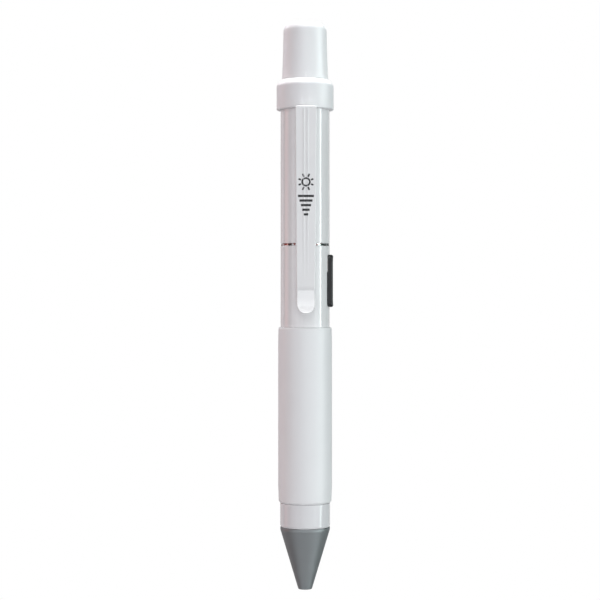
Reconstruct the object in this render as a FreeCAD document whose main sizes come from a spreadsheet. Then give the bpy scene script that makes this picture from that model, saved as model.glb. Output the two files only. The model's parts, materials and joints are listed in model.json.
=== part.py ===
import FreeCAD, Part
import math
import os
import Sketcher

# Cordless pen-shaped dental curing light.
# Origin: centre of the light exit at the tip.  +Z runs along the pen to the end knob,
# -Y faces the pocket clip and +X faces the button.  All lengths are in millimetres.

Vector = FreeCAD.Vector

DIMENSIONS = {
    # overall stations along the pen
    "overall_length": 144.0,
    "cone_taper_end": 15.2,
    "ring_bottom": 15.9,
    "grip_bottom": 22.0,
    "grip_top": 66.6,
    "seam_bottom": 87.2,
    "seam_height": 0.6,
    "collar_bottom": 121.8,
    "collar_top": 129.45,
    "face_gap": 0.05,
    # barrels
    "barrel_radius": 6.24,
    "core_radius": 5.95,
    "bore_radius": 5.2,
    "cell_bore_radius": 5.15,
    "cell_bore_bottom": 80.0,
    "bore_bottom": 16.9,
    "joint_spigot_radius": 5.7,
    "joint_socket_radius": 5.75,
    "joint_length": 8.0,
    "upper_barrel_top": 128.3,
    "seam_radius": 6.2,
    "seam_edge": 0.12,
    # front spigot with its seal
    "spigot_bottom": 12.1,
    "spigot_radius": 4.42,
    "lens_bore_radius": 3.3,
    "seal_groove_floor": 3.85,
    "seal_groove_mid": 13.75,
    "seal_groove_height": 0.8,
    "nose_seal_major": 4.16,
    "nose_seal_minor": 0.3,
    # grip sleeve and front ring
    "sleeve_bore": 5.98,
    "grip_radius": 6.85,
    "grip_low_radius": 6.725,
    "grip_low_station": 22.5,
    "grip_chamfer_radius": 6.37,
    "grip_straight_bottom": 27.0,
    "grip_straight_top": 61.5,
    "grip_top_radius": 6.76,
    "grip_shoulder_arc": 142.0,
    "grip_edge": 0.3,
    "ring_radius": 6.335,
    "ring_bevel_radius": 6.15,
    "ring_bevel_height": 0.45,
    # nose
    "tip_radius": 1.73,
    "tip_edge": 0.3,
    "tip_bore": 1.3,
    "cone_radius": 6.3,
    "socket_radius": 4.5,
    "socket_bottom": 11.3,
    "guide_seat_radius": 3.95,
    "guide_exit_radius": 1.25,
    "guide_exit_station": 0.25,
    "guide_entry_radius": 3.9,
    "guide_retainer_bore": 3.3,
    "guide_retainer_radius": 4.47,
    "guide_retainer_height": 0.6,
    # optics
    "lens_retainer_bore": 2.7,
    "lens_retainer_radius": 3.27,
    "lens_retainer_bottom": 12.15,
    "lens_bottom": 12.7,
    "lens_top": 16.85,
    "lens_radius": 3.25,
    "lens_flange_top": 13.6,
    "lens_neck_radius": 1.9,
    "lens_well_radius": 1.35,
    "lens_well_bottom": 15.9,
    "led_side": 3.45,
    "led_base_bottom": 17.4,
    "led_dome_radius": 1.2,
    "led_board_bottom": 18.0,
    "led_board_top": 18.8,
    "led_board_radius": 4.8,
    "pad_radius": 2.9,
    "sink_bottom": 19.1,
    "sink_top": 30.0,
    "sink_radius": 5.17,
    "lead_radius": 0.4,
    "lead_hole_radius": 0.6,
    "lead_offset": 3.6,
    "lead_back": 0.45,
    "lead_top": 33.0,
    # board, tray and parts on the board
    "board_bottom": 31.0,
    "board_top": 80.5,
    "board_width": 9.0,
    "board_face": 0.05,
    "board_thickness": 0.8,
    "tray_radius": 5.1,
    "tray_inner": 4.3,
    "tray_top": 79.2,
    "rib_radius": 4.6,
    "rib_height": 3.0,
    "rib_low": 36.0,
    "rib_high": 70.0,
    "screw_radius": 0.5,
    "screw_head_radius": 1.0,
    "screw_head_height": 0.5,
    "screw_length": 3.0,
    "screw_clearance": 0.05,
    "chip_side": 4.0,
    "chip_height": 0.9,
    "driver_station": 46.0,
    "inductor_station": 54.0,
    "inductor_height": 2.4,
    "controller_station": 62.0,
    "capacitor_length": 1.6,
    "capacitor_width": 0.8,
    "capacitor_offset": 3.4,
    "switch_station": 78.3,
    "switch_side": 4.2,
    "switch_top": 2.4,
    "switch_bore": 0.95,
    "stem_radius": 0.85,
    "stem_bottom": 1.75,
    "stem_top": 3.4,
    # button
    "button_bottom": 71.7,
    "button_length": 13.3,
    "button_width": 5.8,
    "button_face": 7.17,
    "button_pad_bottom": 5.75,
    "button_corner": 1.05,
    "button_edge": 0.4,
    "button_clearance": 0.1,
    "button_block_width": 5.0,
    "button_block_bottom": 72.0,
    "button_block_top": 80.7,
    "button_flange_width": 6.5,
    "button_flange_bottom": 70.9,
    "button_flange_inner": 3.45,
    "button_flange_outer": 3.95,
    # pocket clip
    "clip_top": 122.1,
    "clip_crease": 76.5,
    "clip_end": 69.9,
    "clip_width": 5.5,
    "clip_end_width": 4.73,
    "clip_thickness": 1.0,
    "clip_stand_off": 7.6,
    "clip_crease_off": 6.31,
    "clip_lip_off": 8.64,
    "clip_lip_arc": 17.0,
    "clip_corner": 0.6,
    "clip_leg_top": 121.6,
    "clip_leg_height": 1.1,
    "clip_leg_width": 4.0,
    "clip_leg_end": 5.6,
    "clip_pocket_floor": 5.4,
    "clip_pocket_gap": 0.15,
    # clip collar
    "collar_radius": 7.25,
    "collar_bore": 6.28,
    "collar_lip_bore": 4.97,
    "collar_lip_bottom": 128.35,
    "collar_edge": 0.2,
    "shoulder_bottom": 127.7,
    "shoulder_mid": 128.5,
    "shoulder_mid_radius": 6.9,
    "shoulder_arc": 1.1,
    "knob_base_radius": 5.87,
    # end knob
    "knob_upper_radius": 5.5,
    "knob_upper_station": 141.87,
    "knob_flare_arc": 390.0,
    "knob_corner_arc": 1.85,
    "knob_crown_radius": 3.65,
    "knob_crown_station": 143.72,
    "knob_bore": 5.0,
    "knob_bore_top": 141.3,
    # tail spigot with the charging port
    "tail_bottom": 127.55,
    "tail_flange_radius": 5.1,
    "tail_radius": 4.92,
    "tail_top": 141.0,
    "tail_cavity_radius": 4.05,
    "tail_cavity_top": 133.4,
    "tail_groove_floor": 4.49,
    "tail_groove_mid": 130.75,
    "tail_groove_height": 0.6,
    "tail_chamfer": 0.3,
    "tail_seal_major": 4.74,
    "tail_seal_minor": 0.24,
    "port_length": 8.94,
    "port_width": 3.26,
    "port_corner": 1.6,
    "port_wall": 0.3,
    "port_bottom": 131.8,
    "port_top": 140.8,
    "port_floor": 1.0,
    "port_gap": 0.05,
    "tongue_width": 6.69,
    "tongue_thickness": 0.7,
    "tongue_top": 140.0,
    "charge_board_radius": 4.0,
    "charge_board_bottom": 131.0,
    "charge_board_top": 131.75,
    "charge_chip_side": 3.0,
    "charge_chip_height": 0.85,
    # cell and contacts
    "cell_radius": 5.0,
    "cell_bottom": 83.0,
    "cell_can_top": 126.2,
    "cell_top": 127.0,
    "cell_edge": 0.4,
    "cell_cap_radius": 1.9,
    "seat_bottom": 80.95,
    "seat_top": 81.5,
    "spring_radius": 2.5,
    "spring_wire": 0.15,
    "spring_turns": 3.0,
    "contact_radius": 2.5,
    "contact_bottom": 127.05,
    "contact_top": 127.5,
    "carrier_radius": 3.8,
    "carrier_top": 128.75,
    "contact_pin_radius": 0.45,
    "contact_pin_offset": 1.6,
    "ribbon_inner": 5.02,
    "ribbon_outer": 5.12,
    "ribbon_inside": 3.85,
    "ribbon_thickness": 0.1,
    "ribbon_fold": 127.1,
    "ribbon_tail": 79.4,
    "ribbon_angle": 34.0,
    "ribbon_tail_width": 3.0,
}

os.makedirs("parts", exist_ok=True)
doc = FreeCAD.newDocument("CuringLight")
sheet = doc.addObject("Spreadsheet::Sheet", "Sheet")
for row, (alias, number) in enumerate(DIMENSIONS.items(), start=1):
    sheet.set("A%d" % row, alias)
    sheet.set("B%d" % row, str(number))
    sheet.setAlias("B%d" % row, alias)
doc.recompute()

sub_parts = []


# ---------------------------------------------------------------- helpers

def value(expression):
    """Number that an expression over the sheet's aliases gives."""
    result = sheet.evalExpression(expression)
    return float(getattr(result, "Value", result))


def bind(target, prop, expression):
    """Bind a property to an expression written with bare sheet aliases."""
    words = expression.replace("(", " ( ").replace(")", " ) ").split()
    target.setExpression(prop, " ".join("Sheet." + w if w in DIMENSIONS else w for w in words))


def new_body(label):
    body = doc.addObject("PartDesign::Body", label)
    body.Label = label
    sub_parts.append(body)
    return body


def register(item, label):
    item.Label = label
    sub_parts.append(item)
    return item


def origin_plane(body, role):
    return next(f for f in body.Origin.OriginFeatures if f.Role == role)


def new_sketch(body, name, role, offset=None):
    sketch = body.newObject("Sketcher::SketchObject", name)
    sketch.AttachmentSupport = [(origin_plane(body, role), "")]
    sketch.MapMode = "FlatFace"
    if offset is not None:
        bind(sketch, "AttachmentOffset.Base.z", offset)
    return sketch


def pin_coordinate(sketch, kind, geometry, position, expression):
    """Hold one coordinate of a point on an axis, or at a bound distance from the origin."""
    number = value(expression)
    if abs(number) < 1e-9:
        axis = -2 if kind == "DistanceX" else -1
        sketch.addConstraint(Sketcher.Constraint("PointOnObject", geometry, position, axis))
        return
    index = sketch.addConstraint(Sketcher.Constraint(kind, -1, 1, geometry, position, number))
    bind(sketch, "Constraints[%d]" % index, expression)


def arc_between(start, end, radius, side):
    """Arc from start to end; side +1 puts its centre to the left of the chord."""
    chord = end - start
    half = chord.Length / 2
    normal = Vector(-chord.y, chord.x, 0).normalize()
    centre = (start + end) * 0.5 + normal * side * math.sqrt(radius * radius - half * half)
    first, last = (start, end) if side > 0 else (end, start)
    angle_first = math.atan2(first.y - centre.y, first.x - centre.x)
    angle_last = math.atan2(last.y - centre.y, last.x - centre.x)
    circle = Part.Circle(centre, Vector(0, 0, 1), radius)
    return Part.ArcOfCircle(circle, angle_first, angle_last)


def draw_outline(sketch, points):
    """Closed outline; a point is (x, y) or (x, y, arc radius, side) for an arc that leaves it."""
    spots = [Vector(value(p[0]), value(p[1]), 0) for p in points]
    ends = []
    for i, point in enumerate(points):
        start, end = spots[i], spots[(i + 1) % len(points)]
        if len(point) == 4:
            index = sketch.addGeometry(arc_between(start, end, value(point[2]), point[3]), False)
            ends.append((index, 1, 2) if point[3] > 0 else (index, 2, 1))
        else:
            index = sketch.addGeometry(Part.LineSegment(start, end), False)
            ends.append((index, 1, 2))
    for i, (geometry, first, last) in enumerate(ends):
        following = ends[(i + 1) % len(ends)]
        sketch.addConstraint(Sketcher.Constraint("Coincident", geometry, last, following[0], following[1]))
        pin_coordinate(sketch, "DistanceX", geometry, first, points[i][0])
        pin_coordinate(sketch, "DistanceY", geometry, first, points[i][1])
        if len(points[i]) == 4:
            index = sketch.addConstraint(Sketcher.Constraint("Radius", geometry, value(points[i][2])))
            bind(sketch, "Constraints[%d]" % index, points[i][2])


def draw_circle(sketch, x, y, radius):
    index = sketch.addGeometry(Part.Circle(Vector(value(x), value(y), 0), Vector(0, 0, 1), value(radius)))
    pin_coordinate(sketch, "DistanceX", index, 3, x)
    pin_coordinate(sketch, "DistanceY", index, 3, y)
    size = sketch.addConstraint(Sketcher.Constraint("Radius", index, value(radius)))
    bind(sketch, "Constraints[%d]" % size, radius)


def rectangle(x_low, x_high, y_low, y_high):
    return [(x_low, y_low), (x_high, y_low), (x_high, y_high), (x_low, y_high)]


def rounded_rectangle(half_x, y_low, y_high, corner):
    """Outline centred on x = 0 with round corners, counter-clockwise."""
    inner_x = "%s - %s" % (half_x, spaced(corner))
    low = "%s + %s" % (y_low, spaced(corner))
    high = "%s - %s" % (y_high, spaced(corner))
    left, inner_left = "0 - " + spaced(half_x), "0 - " + spaced(inner_x)
    return [
        (inner_left, y_low),
        (inner_x, y_low, corner, 1),
        (half_x, low),
        (half_x, high, corner, 1),
        (inner_x, y_high),
        (inner_left, y_high, corner, 1),
        (left, high),
        (left, low, corner, 1),
    ]


def mirrored(points):
    """An outline reflected about x = 0."""
    return [("0 - " + spaced(p[0]), p[1]) + ((p[2], -p[3]) if len(p) == 4 else ()) for p in points]


def revolve(body, name, points, angle=None):
    """Solid of revolution about the pen's axis from an outline of (radius, station) points."""
    sketch = new_sketch(body, name + "_profile", "XZ_Plane")
    draw_outline(sketch, points)
    doc.recompute()
    feature = body.newObject("PartDesign::Revolution", name)
    feature.Profile = sketch
    feature.ReferenceAxis = (sketch, ["V_Axis"])
    feature.Angle = 360
    if angle is not None:
        feature.Midplane = True
        bind(feature, "Angle", angle)
    doc.recompute()
    return feature


def pad(body, name, role, outlines, start, length):
    """Prism that starts at an offset from an origin plane and runs along that plane's normal."""
    sketch = new_sketch(body, name + "_outline", role, start)
    for outline in outlines:
        draw_outline(sketch, outline)
    doc.recompute()
    feature = body.newObject("PartDesign::Pad", name)
    feature.Profile = sketch
    bind(feature, "Length", length)
    doc.recompute()
    return feature


def pocket(body, name, role, start, length, outlines=(), circles=()):
    """Prismatic cut that starts at an offset from an origin plane and runs along its normal."""
    before = body.Shape.Volume
    sketch = new_sketch(body, name + "_outline", role, start)
    for outline in outlines:
        draw_outline(sketch, outline)
    for circle in circles:
        draw_circle(sketch, *circle)
    doc.recompute()
    feature = body.newObject("PartDesign::Pocket", name)
    feature.Profile = sketch
    feature.Reversed = True
    bind(feature, "Length", length)
    doc.recompute()
    if body.Shape.Volume >= before:
        raise ValueError("pocket %s removes nothing" % name)
    return feature


def dress(body, kind, name, size, chosen):
    """Fillet or chamfer on the edges that the test accepts."""
    base = body.Tip
    names = ["Edge%d" % (i + 1) for i, edge in enumerate(base.Shape.Edges) if chosen(edge)]
    if not names:
        raise ValueError("no edges for %s" % name)
    feature = body.newObject("PartDesign::" + kind, name)
    feature.Base = (base, names)
    bind(feature, "Radius" if kind == "Fillet" else "Size", size)
    doc.recompute()
    return feature


def rim_at(station, radius):
    """Test for the circular edge about the pen's axis at a station and radius."""
    height, size = value(station), value(radius)

    def test(edge):
        curve = edge.Curve
        if not isinstance(curve, Part.Circle):
            return False
        return abs(curve.Center.z - height) < 0.01 and abs(curve.Radius - size) < 0.01

    return test


def straight_along(direction):
    """Test for straight edges that run along a direction."""

    def test(edge):
        if not isinstance(edge.Curve, Part.Line):
            return False
        return edge.Curve.Direction.cross(direction).Length < 1e-6

    return test


def place(item, x, y, z, rotation=None):
    if rotation is not None:
        item.Placement = FreeCAD.Placement(Vector(0, 0, 0), rotation)
    bind(item, "Placement.Base.x", x)
    bind(item, "Placement.Base.y", y)
    bind(item, "Placement.Base.z", z)


def box(name, x, y, z, size_x, size_y, size_z):
    """Block centred on (x, y) whose lower face is at z."""
    item = doc.addObject("Part::Box", name)
    bind(item, "Length", size_x)
    bind(item, "Width", size_y)
    bind(item, "Height", size_z)
    place(item, "%s - %s / 2" % (x, spaced(size_x)), "%s - %s / 2" % (y, spaced(size_y)), z)
    return item


def spaced(expression):
    return "( %s )" % expression


def cylinder(name, radius, height, x, y, z, rotation=None):
    item = doc.addObject("Part::Cylinder", name)
    bind(item, "Radius", radius)
    bind(item, "Height", height)
    place(item, x, y, z, rotation)
    return item


def torus(label, major, minor, station):
    item = doc.addObject("Part::Torus", label)
    bind(item, "Radius1", major)
    bind(item, "Radius2", minor)
    place(item, "0", "0", station)
    return register(item, label)


def group(label, items):
    compound = doc.addObject("Part::Compound", label)
    compound.Links = items
    return register(compound, label)


def ring(label, bore, radius, bottom, top):
    body = new_body(label)
    revolve(body, label + "_turned", rectangle(bore, radius, bottom, top))
    return body


ALONG_X = FreeCAD.Rotation(Vector(0, 1, 0), 90)
FACING_BACK = FreeCAD.Rotation(Vector(0, 0, 1), 180)


# ---------------------------------------------------------------- outer shell

def make_lower_barrel():
    body = new_body("lower_barrel")
    joint_top = "seam_bottom + joint_length"
    revolve(body, "lower_tube", [
        ("lens_bore_radius", "spigot_bottom"),
        ("spigot_radius", "spigot_bottom"),
        ("spigot_radius", "seal_groove_mid - seal_groove_height / 2"),
        ("seal_groove_floor", "seal_groove_mid - seal_groove_height / 2"),
        ("seal_groove_floor", "seal_groove_mid + seal_groove_height / 2"),
        ("spigot_radius", "seal_groove_mid + seal_groove_height / 2"),
        ("spigot_radius", "ring_bottom"),
        ("core_radius", "ring_bottom"),
        ("core_radius", "grip_top"),
        ("barrel_radius", "grip_top"),
        ("barrel_radius", "seam_bottom"),
        ("joint_spigot_radius", "seam_bottom"),
        ("joint_spigot_radius", joint_top),
        ("cell_bore_radius", joint_top),
        ("cell_bore_radius", "cell_bore_bottom"),
        ("bore_radius", "cell_bore_bottom"),
        ("bore_radius", "bore_bottom"),
        ("lens_bore_radius", "bore_bottom"),
    ])
    pocket(body, "button_window", "YZ_Plane", "button_flange_inner - 1", "button_face",
           outlines=[rounded_rectangle("( button_width / 2 + button_clearance )",
                                       "button_bottom - button_clearance",
                                       "button_bottom + button_length + button_clearance",
                                       "button_corner + button_clearance")])
    dress(body, "Chamfer", "seam_edge_lower", "seam_edge", rim_at("seam_bottom", "barrel_radius"))


def make_upper_barrel():
    body = new_body("upper_barrel")
    bottom = "seam_bottom + seam_height"
    socket_top = "seam_bottom + joint_length + 4 * face_gap"
    revolve(body, "upper_tube", [
        ("joint_socket_radius", bottom),
        ("barrel_radius", bottom),
        ("barrel_radius", "upper_barrel_top"),
        ("cell_bore_radius", "upper_barrel_top"),
        ("cell_bore_radius", socket_top),
        ("joint_socket_radius", socket_top),
    ])
    half = "( clip_leg_width / 2 + clip_pocket_gap )"
    pocket(body, "clip_pocket", "XZ_Plane", "clip_pocket_floor", "barrel_radius",
           outlines=[rectangle("0 - " + half, half,
                               "clip_leg_top - clip_leg_height - clip_pocket_gap",
                               "clip_leg_top + clip_pocket_gap")])
    dress(body, "Chamfer", "seam_edge_upper", "seam_edge", rim_at(bottom, "barrel_radius"))


def make_seam_ring():
    body = ring("seam_ring", "joint_socket_radius", "seam_radius", "seam_bottom + face_gap / 2",
                "seam_bottom + seam_height - face_gap / 2")
    dress(body, "Fillet", "seam_ring_edges", "seam_edge",
          lambda edge: isinstance(edge.Curve, Part.Circle)
          and abs(edge.Curve.Radius - value("seam_radius")) < 0.01)


def make_grip_sleeve():
    body = new_body("grip_sleeve")
    bottom = "grip_bottom + face_gap"
    top = "grip_top - face_gap"
    revolve(body, "sleeve", [
        ("sleeve_bore", bottom),
        ("grip_chamfer_radius", bottom),
        ("grip_low_radius", "grip_low_station"),
        ("grip_radius", "grip_straight_bottom"),
        ("grip_radius", "grip_straight_top", "grip_shoulder_arc", 1),
        ("grip_top_radius", top),
        ("sleeve_bore", top),
    ])
    dress(body, "Fillet", "sleeve_top_edge", "grip_edge", rim_at(top, "grip_top_radius"))


def make_front_ring():
    body = new_body("front_ring")
    top = "grip_bottom - face_gap"
    revolve(body, "front_ring_turned", [
        ("sleeve_bore", "ring_bottom"),
        ("ring_bevel_radius", "ring_bottom"),
        ("ring_radius", "ring_bottom + ring_bevel_height"),
        ("ring_radius", top),
        ("sleeve_bore", top),
    ])
    dress(body, "Fillet", "front_ring_edge", "seam_edge", rim_at(top, "ring_radius"))


def make_clip_collar():
    body = new_body("clip_collar")
    revolve(body, "collar_turned", [
        ("collar_bore", "collar_bottom"),
        ("collar_radius", "collar_bottom"),
        ("collar_radius", "shoulder_bottom", "shoulder_arc", 1),
        ("shoulder_mid_radius", "shoulder_mid"),
        ("knob_base_radius", "collar_top"),
        ("collar_lip_bore", "collar_top"),
        ("collar_lip_bore", "collar_lip_bottom"),
        ("collar_bore", "collar_lip_bottom"),
    ])
    dress(body, "Fillet", "collar_lower_edge", "collar_edge", rim_at("collar_bottom", "collar_radius"))


def make_end_knob():
    body = new_body("end_knob")
    bottom = "collar_top + face_gap"
    rise = "( overall_length - knob_crown_station )"
    crown_arc = "( knob_crown_radius * knob_crown_radius + %s * %s ) / ( 2 * %s )" % (rise, rise, rise)
    revolve(body, "knob_turned", [
        ("knob_bore", bottom),
        ("knob_base_radius", bottom, "knob_flare_arc", -1),
        ("knob_upper_radius", "knob_upper_station", "knob_corner_arc", 1),
        ("knob_crown_radius", "knob_crown_station", crown_arc, 1),
        ("0", "overall_length"),
        ("0", "knob_bore_top"),
        ("knob_bore", "knob_bore_top"),
    ])


def make_pocket_clip():
    body = new_body("pocket_clip")
    outer = "( 0 - clip_thickness )"
    side = [
        ("0 - clip_leg_end", "clip_leg_top - clip_leg_height"),
        ("0 - clip_stand_off + 0.05", "clip_leg_top - clip_leg_height"),
        ("0 - clip_crease_off", "clip_crease", "clip_lip_arc", -1),
        ("0 - clip_lip_off", "clip_end"),
        ("%s - clip_lip_off" % outer, "clip_end", "clip_lip_arc", 1),
        ("%s - clip_crease_off" % outer, "clip_crease"),
        ("%s - clip_stand_off" % outer, "clip_top"),
        ("0 - clip_stand_off", "clip_top"),
        ("0 - clip_stand_off", "clip_leg_top"),
        ("0 - clip_leg_end", "clip_leg_top"),
    ]
    pad(body, "clip_side", "YZ_Plane", [side], "0 - clip_width / 2", "clip_width")
    beyond = "( clip_width / 2 + 1 )"
    end_round = "( clip_end_width * 0.47 )"
    flank = [
        ("clip_width / 2", "clip_top + 1"),
        ("clip_end_width / 2", "clip_end + " + end_round, end_round, -1),
        ("clip_end_width / 2 - " + end_round, "clip_end"),
        ("clip_end_width / 2 - " + end_round, "clip_end - 1"),
        (beyond, "clip_end - 1"),
        (beyond, "clip_top + 1"),
    ]
    pocket(body, "clip_taper", "XZ_Plane", "clip_leg_end - 1", "clip_lip_off",
           outlines=[flank, mirrored(flank)])
    leg_edge = "clip_leg_width / 2"
    leg_sides = [
        rectangle(leg_edge, beyond, "clip_leg_top - clip_leg_height - 1", "clip_leg_top + 0.5"),
        rectangle("0 - " + beyond, "0 - " + leg_edge,
                  "clip_leg_top - clip_leg_height - 1", "clip_leg_top + 0.5"),
    ]
    pocket(body, "leg_trim", "XZ_Plane", "clip_leg_end - 1", "clip_stand_off - clip_leg_end + 1 - 0.05",
           outlines=leg_sides)

    def top_corner(edge):
        spot = edge.CenterOfMass
        return (straight_along(Vector(0, 1, 0))(edge) and abs(spot.z - value("clip_top")) < 0.01
                and abs(spot.x) > 1)

    dress(body, "Fillet", "clip_top_corners", "clip_corner", top_corner)


def make_button_cap():
    body = new_body("button_cap")
    top = "button_bottom + button_length"
    pad(body, "button_pad", "YZ_Plane",
        [rounded_rectangle("button_width / 2", "button_bottom", top, "button_corner")],
        "button_pad_bottom", "button_face - button_pad_bottom")
    dress(body, "Fillet", "button_rim", "button_edge",
          lambda edge: abs(edge.BoundBox.XMin - value("button_face")) < 0.001)
    block = "button_block_width / 2"
    pad(body, "button_block", "YZ_Plane",
        [rectangle("0 - " + block, block, "button_block_bottom", "button_block_top")],
        "button_flange_outer", "button_pad_bottom - button_flange_outer")
    flange = "button_flange_width / 2"
    pad(body, "button_flange", "YZ_Plane",
        [rectangle("0 - " + flange, flange, "button_flange_bottom", "button_block_top")],
        "button_flange_inner", "button_flange_outer - button_flange_inner")


# ---------------------------------------------------------------- nose and optics

def make_nose():
    body = new_body("nose_cone")
    top = "ring_bottom - face_gap"
    revolve(body, "cone_turned", [
        ("tip_bore", "0"),
        ("tip_radius", "0"),
        ("cone_radius", "cone_taper_end"),
        ("cone_radius", top),
        ("socket_radius", top),
        ("socket_radius", "socket_bottom"),
        ("guide_seat_radius", "socket_bottom"),
    ])
    dress(body, "Fillet", "tip_rounding", "tip_edge", rim_at("0", "tip_radius"))
    guide = new_body("light_guide")
    revolve(guide, "guide_turned", [
        ("0", "guide_exit_station"),
        ("guide_exit_radius", "guide_exit_station"),
        ("guide_entry_radius", "socket_bottom - face_gap"),
        ("0", "socket_bottom - face_gap"),
    ])
    ring("guide_retainer", "guide_retainer_bore", "guide_retainer_radius", "socket_bottom + face_gap",
         "socket_bottom + face_gap + guide_retainer_height")
    torus("nose_o_ring", "nose_seal_major", "nose_seal_minor", "seal_groove_mid")


def make_optics():
    ring("lens_retainer", "lens_retainer_bore", "lens_retainer_radius", "lens_retainer_bottom",
         "lens_bottom - face_gap")
    lens = new_body("collimator_lens")
    revolve(lens, "lens_turned", [
        ("0", "lens_bottom"),
        ("lens_radius", "lens_bottom"),
        ("lens_radius", "lens_flange_top"),
        ("lens_neck_radius", "lens_top"),
        ("lens_well_radius", "lens_top"),
        ("lens_well_radius", "lens_well_bottom"),
        ("0", "lens_well_bottom"),
    ])
    emitter = new_body("led_emitter")
    half = "led_side / 2"
    pad(emitter, "led_base", "XY_Plane", [rectangle("0 - " + half, half, "0 - " + half, half)],
        "led_base_bottom", "led_board_bottom - led_base_bottom")
    revolve(emitter, "led_dome", [
        ("0", "led_base_bottom - led_dome_radius", "led_dome_radius", 1),
        ("led_dome_radius", "led_base_bottom"),
        ("led_dome_radius", "led_base_bottom + face_gap"),
        ("0", "led_base_bottom + face_gap"),
    ])
    board = cylinder("led_board", "led_board_radius", "led_board_top - led_board_bottom",
                     "0", "0", "led_board_bottom")
    register(board, "led_board")
    interface = cylinder("thermal_pad", "pad_radius", "sink_bottom - led_board_top",
                         "0", "0", "led_board_top")
    register(interface, "thermal_pad")
    sink = new_body("heat_sink")
    revolve(sink, "sink_turned", rectangle("0", "sink_radius", "sink_bottom", "sink_top"))
    pocket(sink, "lead_holes", "XY_Plane", "sink_bottom - 1", "sink_top - sink_bottom + 2",
           circles=[("0 - lead_back", "lead_offset", "lead_hole_radius"),
                    ("0 - lead_back", "0 - lead_offset", "lead_hole_radius")])
    length = "lead_top - led_board_top - face_gap"
    group("led_leads", [
        cylinder("led_lead_%d" % i, "lead_radius", length, "0 - lead_back", y, "led_board_top + face_gap")
        for i, y in enumerate(["lead_offset", "0 - lead_offset"])
    ])


# ---------------------------------------------------------------- electronics

def make_tray():
    body = new_body("board_tray")
    revolve(body, "tray_shell", rectangle("tray_inner", "tray_radius", "board_bottom", "tray_top"),
            angle="180")
    for name in ("rib_low", "rib_high"):
        revolve(body, "tray_" + name,
                rectangle("0", "rib_radius", name + " - rib_height / 2", name + " + rib_height / 2"),
                angle="180")
    pocket(body, "tray_screw_holes", "YZ_Plane", "0", "screw_length + 0.3",
           circles=[("0", name, "screw_radius + screw_clearance") for name in ("rib_low", "rib_high")])
    body.Placement = FreeCAD.Placement(Vector(0, 0, 0), FACING_BACK)


def make_main_board():
    body = new_body("main_board")
    half = "board_width / 2"
    pad(body, "board_plate", "YZ_Plane", [rectangle("0 - " + half, half, "board_bottom", "board_top")],
        "board_face", "board_thickness")
    pocket(body, "board_screw_holes", "YZ_Plane", "board_face - 1", "board_thickness + 2",
           circles=[("0", name, "screw_radius + 2 * screw_clearance") for name in ("rib_low", "rib_high")])


def make_board_screws():
    surface = "board_face + board_thickness"
    screws = []
    for name in ("rib_low", "rib_high"):
        shank = cylinder("shank_" + name, "screw_radius", "screw_length + " + surface,
                         "0 - screw_length", "0", name, ALONG_X)
        head = cylinder("head_" + name, "screw_head_radius", "screw_head_height", surface, "0", name, ALONG_X)
        screw = doc.addObject("Part::MultiFuse", "screw_" + name)
        screw.Shapes = [shank, head]
        screws.append(screw)
    group("board_screws", screws)


def make_board_parts():
    surface = "board_face + board_thickness"
    chips = [
        ("driver_chip", "driver_station", "chip_height"),
        ("power_inductor", "inductor_station", "inductor_height"),
        ("microcontroller", "controller_station", "chip_height"),
    ]
    for label, station, height in chips:
        item = box(label, "%s + %s / 2" % (surface, height), "0", station + " - chip_side / 2",
                   height, "chip_side", "chip_side")
        register(item, label)
    capacitors = []
    for i, station in enumerate(["driver_station", "inductor_station", "controller_station"]):
        for side in ("capacitor_offset", "( 0 - capacitor_offset )"):
            capacitors.append(box("capacitor_%d" % len(capacitors), surface + " + capacitor_width / 2", side,
                                  station, "capacitor_width", "capacitor_width", "capacitor_length"))
    group("capacitors", capacitors)
    switch = new_body("tact_switch")
    half = "switch_side / 2"
    pad(switch, "switch_case", "YZ_Plane",
        [rectangle("0 - " + half, half, "switch_station - " + half, "switch_station + " + half)],
        surface, "switch_top - " + surface.replace("+", "-"))
    pocket(switch, "switch_well", "YZ_Plane", surface + " + 0.2", "switch_top",
           circles=[("0", "switch_station", "switch_bore")])
    stem = cylinder("switch_stem", "stem_radius", "stem_top - stem_bottom", "stem_bottom", "0",
                    "switch_station", ALONG_X)
    register(stem, "switch_stem")


# ---------------------------------------------------------------- cell and charging

def make_cell():
    seat = cylinder("cell_seat", "cell_radius", "seat_top - seat_bottom", "0", "0", "seat_bottom")
    register(seat, "cell_seat")
    cell = new_body("battery_cell")
    revolve(cell, "cell_can", rectangle("0", "cell_radius", "cell_bottom", "cell_can_top"))
    dress(cell, "Fillet", "cell_edges", "cell_edge",
          lambda edge: isinstance(edge.Curve, Part.Circle)
          and abs(edge.Curve.Radius - value("cell_radius")) < 0.01)
    cap = cylinder("cell_positive_cap", "cell_cap_radius", "cell_top - cell_can_top",
                   "0", "0", "cell_can_top")
    register(cap, "cell_positive_cap")
    make_cell_spring()


def make_cell_spring():
    """Coil between the seat and the cell; a swept helix with its sizes read from the sheet."""
    wire = value("spring_wire")
    low = value("seat_top") + wire + 0.01
    high = value("cell_bottom") - wire - 0.01
    pitch = (high - low) / value("spring_turns")
    helix = Part.makeHelix(pitch, high - low, value("spring_radius"))
    circle = Part.Circle(Vector(value("spring_radius"), 0, 0), Vector(0, 1, 0), wire)
    coil = Part.Wire(helix).makePipeShell([Part.Wire(circle.toShape())], True, True)
    item = doc.addObject("Part::Feature", "cell_spring")
    item.Shape = coil
    item.Placement = FreeCAD.Placement(Vector(0, 0, low), FreeCAD.Rotation())
    register(item, "cell_spring")


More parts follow.
